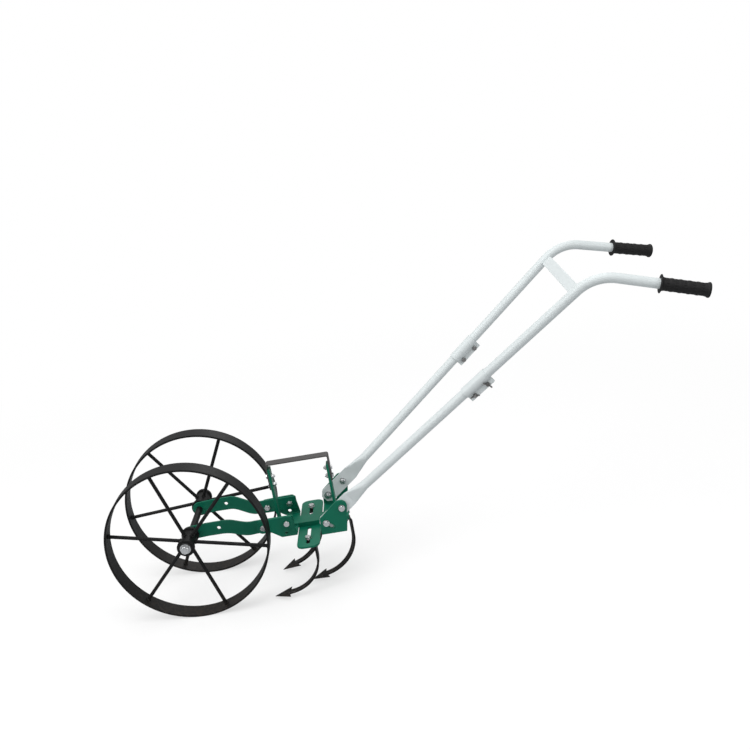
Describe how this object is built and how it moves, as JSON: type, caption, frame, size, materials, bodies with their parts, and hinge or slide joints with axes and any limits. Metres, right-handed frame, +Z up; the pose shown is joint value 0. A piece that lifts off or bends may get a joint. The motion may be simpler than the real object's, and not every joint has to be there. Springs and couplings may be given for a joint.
{
  "type": "wheel hoe cultivator",
  "caption": "Hand-pushed garden cultivator: spoked steel wheels on a through axle, a flat-bar frame, sliding arrow-head tines and a tilting tubular handle with rubber grips.",
  "frame": {"origin": "middle of the bottom face of the whole object's box, on the ground under the wheels and tine points", "axes": "+X back towards the grips, +Y towards the far wheel, +Z up; -X is the way the tool is pushed"},
  "size_m": [1.3831, 0.4522, 0.717],
  "materials": {
    "black_paint": "satin black paint on steel, slightly textured",
    "bush_nylon": "black nylon",
    "green_paint": "deep green powder coat, semi-gloss",
    "dark_grey_paint": "dark grey paint, satin",
    "zinc_plate": "bright zinc plating",
    "dark_steel": "blackened steel",
    "white_coat": "white powder coat, semi-gloss",
    "grip_rubber": "matte black ribbed rubber"
  },
  "bodies": {
    "frame": {"axle": "zinc_plate", "axle_spacer": "black_paint", "axle_washers": "zinc_plate", "axle_nuts": "zinc_plate", "near_arm": "green_paint", "far_arm": "green_paint", "near_front_plate": "green_paint", "far_front_plate": "green_paint", "arm_bolts": "zinc_plate", "arm_nuts": "zinc_plate", "front_cross_plates": "green_paint", "rear_cross_plates": "green_paint", "near_rear_plate": "green_paint", "far_rear_plate": "green_paint", "centre_beam": "green_paint", "tool_plate": "green_paint", "front_upright": "green_paint", "rear_upright": "green_paint", "upright_bolts": "zinc_plate", "top_strap": "dark_grey_paint", "strap_bolts": "zinc_plate", "small_frame_nuts": "zinc_plate", "rear_tine": "black_paint", "rear_tine_bolt": "zinc_plate", "rear_tine_washer": "zinc_plate", "rear_tine_nut": "zinc_plate", "pivot_bolts": "zinc_plate", "pivot_washers": "zinc_plate", "pivot_nuts": "zinc_plate"},
    "near_wheel": {"near_wheel_rim": "black_paint", "near_wheel_spokes": "black_paint", "near_wheel_hub": "black_paint", "near_wheel_bushes": "bush_nylon"},
    "far_wheel": {"far_wheel_rim": "black_paint", "far_wheel_spokes": "black_paint", "far_wheel_hub": "black_paint", "far_wheel_bushes": "bush_nylon"},
    "handle": {"near_lower_tube": "white_coat", "far_lower_tube": "white_coat", "near_upper_tube": "white_coat", "far_upper_tube": "white_coat", "near_clamp_sleeve": "white_coat", "far_clamp_sleeve": "white_coat", "clamp_bolts": "dark_steel", "clamp_nuts": "dark_steel", "crossbar": "white_coat", "near_grip": "grip_rubber", "far_grip": "grip_rubber", "lock_bolts": "zinc_plate", "lock_washers": "zinc_plate", "lock_nuts": "zinc_plate"},
    "near_tine": {"near_tine": "black_paint", "near_tine_bolt": "zinc_plate", "near_tine_washer": "zinc_plate", "near_tine_nut": "zinc_plate"},
    "far_tine": {"far_tine": "black_paint", "far_tine_bolt": "zinc_plate", "far_tine_washer": "zinc_plate", "far_tine_nut": "zinc_plate"}
  },
  "joints": [
    {"name": "near_wheel_spin", "type": "hinge", "parent": "frame", "child": "near_wheel", "pos_m": [-0.50105, -0.1037, 0.1905], "axis": [0, 1, 0], "continuous": true},
    {"name": "far_wheel_spin", "type": "hinge", "parent": "frame", "child": "far_wheel", "pos_m": [-0.50105, 0.1037, 0.1905], "axis": [0, 1, 0], "continuous": true},
    {"name": "handle_pivot", "type": "hinge", "parent": "frame", "child": "handle", "pos_m": [-0.13668, 0, 0.21483], "axis": [0, -1, 0], "range_deg": [0, 20]},
    {"name": "near_tine_slide", "type": "slide", "parent": "frame", "child": "near_tine", "axis": [0, 1, 0], "range_m": [-0.018, 0.039]},
    {"name": "far_tine_slide", "type": "slide", "parent": "frame", "child": "far_tine", "axis": [0, -1, 0], "range_m": [-0.018, 0.039]}
  ]
}
